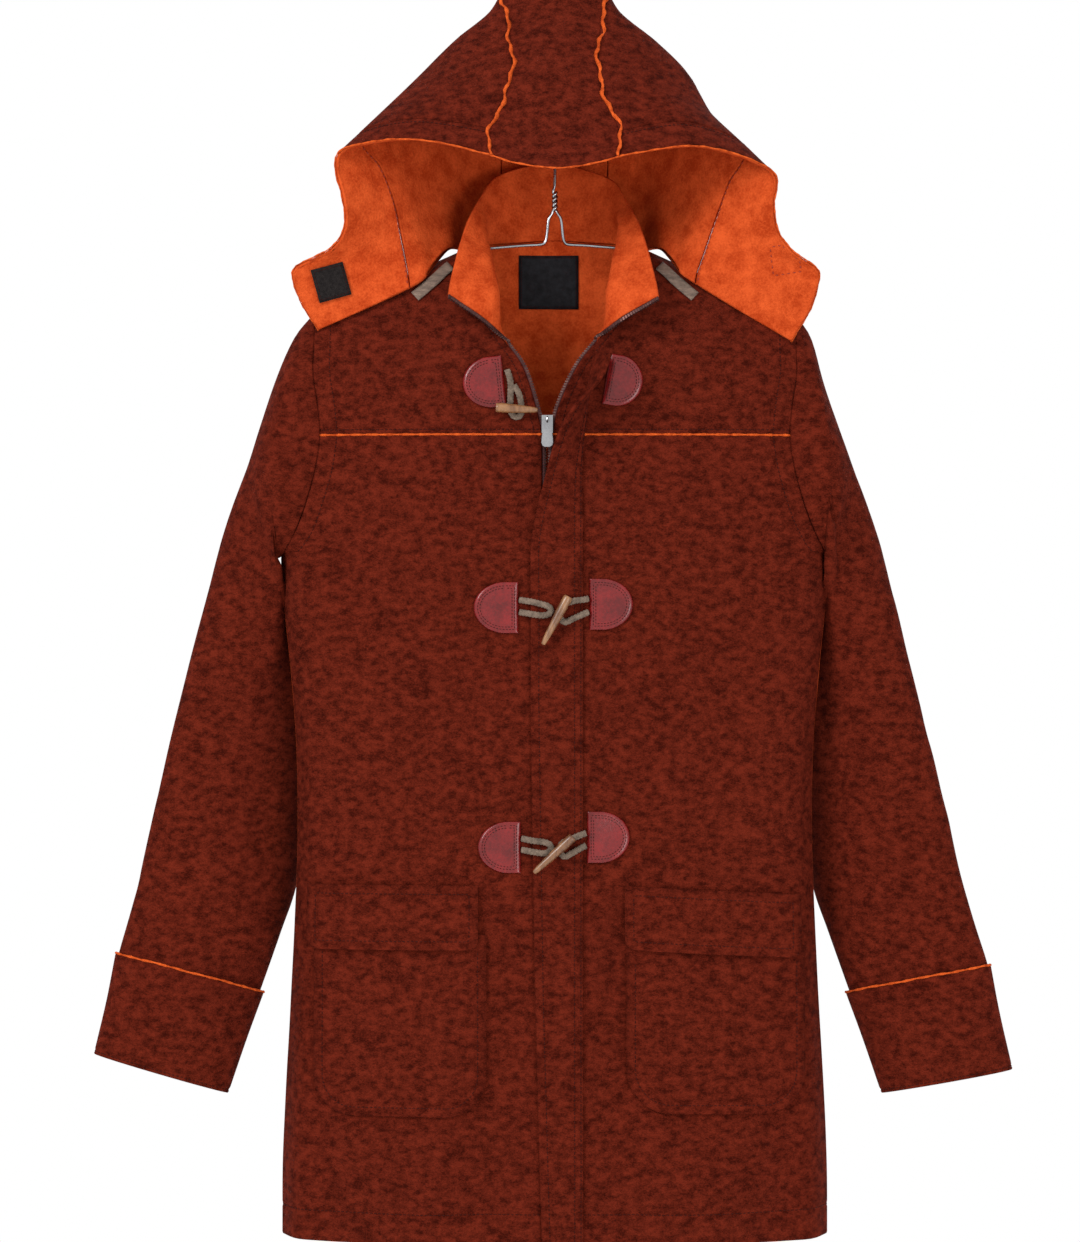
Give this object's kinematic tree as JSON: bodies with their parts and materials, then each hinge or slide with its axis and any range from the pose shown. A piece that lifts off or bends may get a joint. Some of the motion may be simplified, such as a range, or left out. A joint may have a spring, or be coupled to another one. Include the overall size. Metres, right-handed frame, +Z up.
{
  "type": "hooded fleece coat on a wire hanger",
  "caption": "Hooded fleece coat with a zip under a placket, toggle fastenings, flapped patch pockets and turned-back cuffs, hung on a wire hanger.",
  "frame": {"origin": "inner top of the bend of the hanger's hook, where it hangs on a rail", "axes": "+Z up, the coat's front faces -Y, +X to the viewer's right"},
  "size_m": [0.8366, 0.175, 1.1518],
  "materials": {
    "fleece": "bonded fleece, mottled rust brown outside and orange inside",
    "leather": "glossy",
    "cord": "flat braid",
    "horn": "satin, streaked",
    "chrome": "polished",
    "tape": "woven tape"
  },
  "bodies": {
    "coat": {"back_panel": "fleece", "back_yoke": "fleece", "collar": "fleece", "cord_low_left": "cord", "cord_low_right": "cord", "cord_middle_left": "cord", "cord_middle_right": "cord", "cord_top_left": "cord", "cuff_left": "fleece", "cuff_right": "fleece", "front_panel_left": "fleece", "front_panel_right": "fleece", "front_yoke_left": "fleece", "front_yoke_right": "fleece", "hanger_left": "chrome", "hanger_right": "chrome", "hood_band_left": "fleece", "hood_band_right": "fleece", "hood_gusset": "fleece", "hood_side_left": "fleece", "hood_side_right": "fleece", "hood_tape_left": "cord", "hood_tape_right": "cord", "neck_label": "tape", "placket": "fleece", "pocket_bag_left": "fleece", "pocket_bag_right": "fleece", "pocket_flap_left": "fleece", "pocket_flap_right": "fleece", "sleeve_left": "fleece", "sleeve_right": "fleece", "tab_square": "tape", "toggle_low": "horn", "toggle_middle": "horn", "toggle_patch_low_left": "leather", "toggle_patch_low_right": "leather", "toggle_patch_middle_left": "leather", "toggle_patch_middle_right": "leather", "toggle_patch_top_left": "leather", "toggle_patch_top_right": "leather", "toggle_top": "horn", "zip_left": "tape", "zip_right": "tape", "zip_slider": "chrome"},
    "pull": {"zip_pull": "chrome"}
  },
  "joints": [
    {"name": "zip_pull_hinge", "type": "hinge", "parent": "coat", "child": "pull", "pos_m": [-0.007, -0.04751, -0.406], "axis": [-1, 0, 0], "range_deg": [0, 150]}
  ]
}
